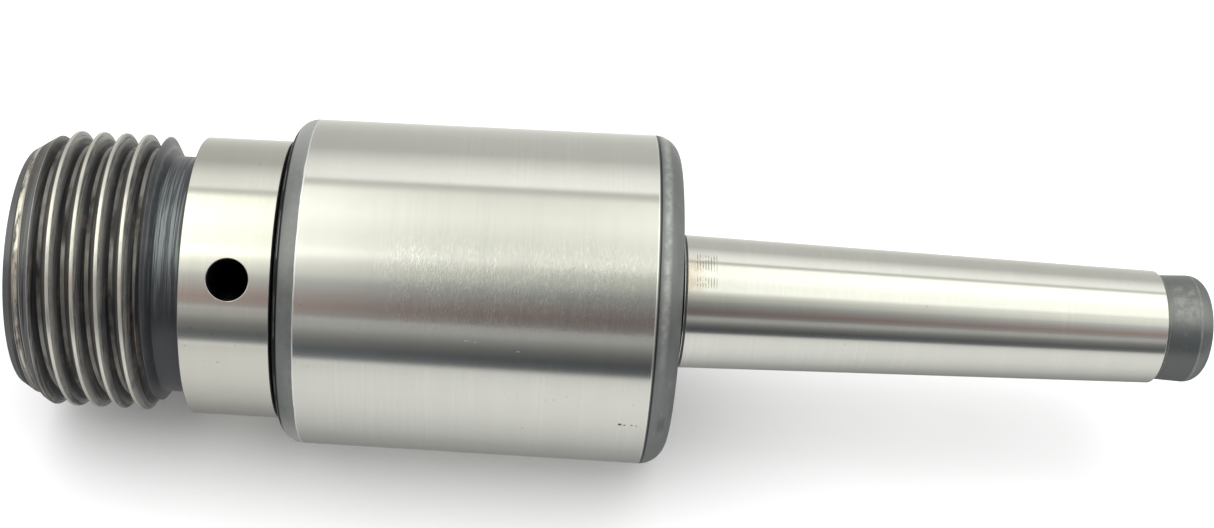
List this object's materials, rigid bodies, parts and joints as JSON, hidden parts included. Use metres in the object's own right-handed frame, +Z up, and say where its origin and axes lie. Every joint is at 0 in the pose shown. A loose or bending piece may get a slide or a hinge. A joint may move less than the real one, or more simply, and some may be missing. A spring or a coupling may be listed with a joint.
{
  "type": "live center",
  "caption": "Revolving tailstock center with a threaded chuck nose and collar, a plain cylindrical housing and a Morse taper shank.",
  "frame": {"origin": "on the axis of rotation, at the gauge plane of the Morse taper, 5.5 mm behind the housing's rear face", "axes": "+X along the axis towards the small end of the shank, the threaded nose along -X; +Z up, away from the surface that the housing lies on"},
  "size_m": [0.1572, 0.0444, 0.0444],
  "materials": {
    "ground_steel": "cylindrically ground tool steel, bright, with fine rings; the end faces and corners are blackened",
    "black_oxide_steel": "black-oxide steel, worn bright along the thread crests; the collar is ground bright",
    "gland_steel": "turned and blackened",
    "felt": "oiled wool felt",
    "bearing_steel": "ground bearing steel",
    "shield_steel": "pressed sheet, satin",
    "spring_steel": "phosphated spring steel",
    "cup_steel": "drawn and hardened sheet",
    "turned_steel": "turned",
    "cage_steel": "pressed sheet, tumbled",
    "rivet_steel": "drawn wire",
    "ball_steel": "lapped mirror bright",
    "thrust_cage_brass": "punched sheet, satin"
  },
  "bodies": {
    "housing": {"housing": "ground_steel", "gland_ring": "gland_steel", "felt_seal": "felt", "front_bearing_outer_ring": "bearing_steel", "front_bearing_shield_front": "shield_steel", "front_bearing_shield_rear": "shield_steel", "thrust_housing_washer": "bearing_steel", "preload_disc_spring": "spring_steel", "needle_bearing_cup": "cup_steel"},
    "spindle": {"spindle": "black_oxide_steel", "front_bearing_inner_ring": "bearing_steel", "spacer_sleeve": "turned_steel", "retaining_ring": "spring_steel", "thrust_shaft_washer": "bearing_steel"},
    "front_cage": {"front_cage_half_a": "cage_steel", "front_cage_half_b": "cage_steel", "front_cage_rivets": "rivet_steel", "front_bearing_balls": "ball_steel"},
    "thrust_cage": {"thrust_cage": "thrust_cage_brass", "thrust_balls": "ball_steel"},
    "needle_cage": {"needle_cage": "cage_steel", "needle_rollers": "ball_steel"}
  },
  "joints": [
    {"name": "spindle_spin", "type": "hinge", "parent": "housing", "child": "spindle", "pos_m": [0, 0, 0], "axis": [1, 0, 0], "continuous": true},
    {"name": "front_cage_spin", "type": "hinge", "parent": "housing", "child": "front_cage", "pos_m": [0, 0, 0], "axis": [1, 0, 0], "continuous": true},
    {"name": "thrust_cage_spin", "type": "hinge", "parent": "housing", "child": "thrust_cage", "pos_m": [0, 0, 0], "axis": [1, 0, 0], "continuous": true},
    {"name": "needle_cage_spin", "type": "hinge", "parent": "housing", "child": "needle_cage", "pos_m": [0, 0, 0], "axis": [1, 0, 0], "continuous": true}
  ],
  "couplings": [
    {"joint": "front_cage_spin", "follows": "spindle_spin", "ratio": 0.4084},
    {"joint": "thrust_cage_spin", "follows": "spindle_spin", "ratio": 0.5},
    {"joint": "needle_cage_spin", "follows": "spindle_spin", "ratio": 0.4286}
  ]
}
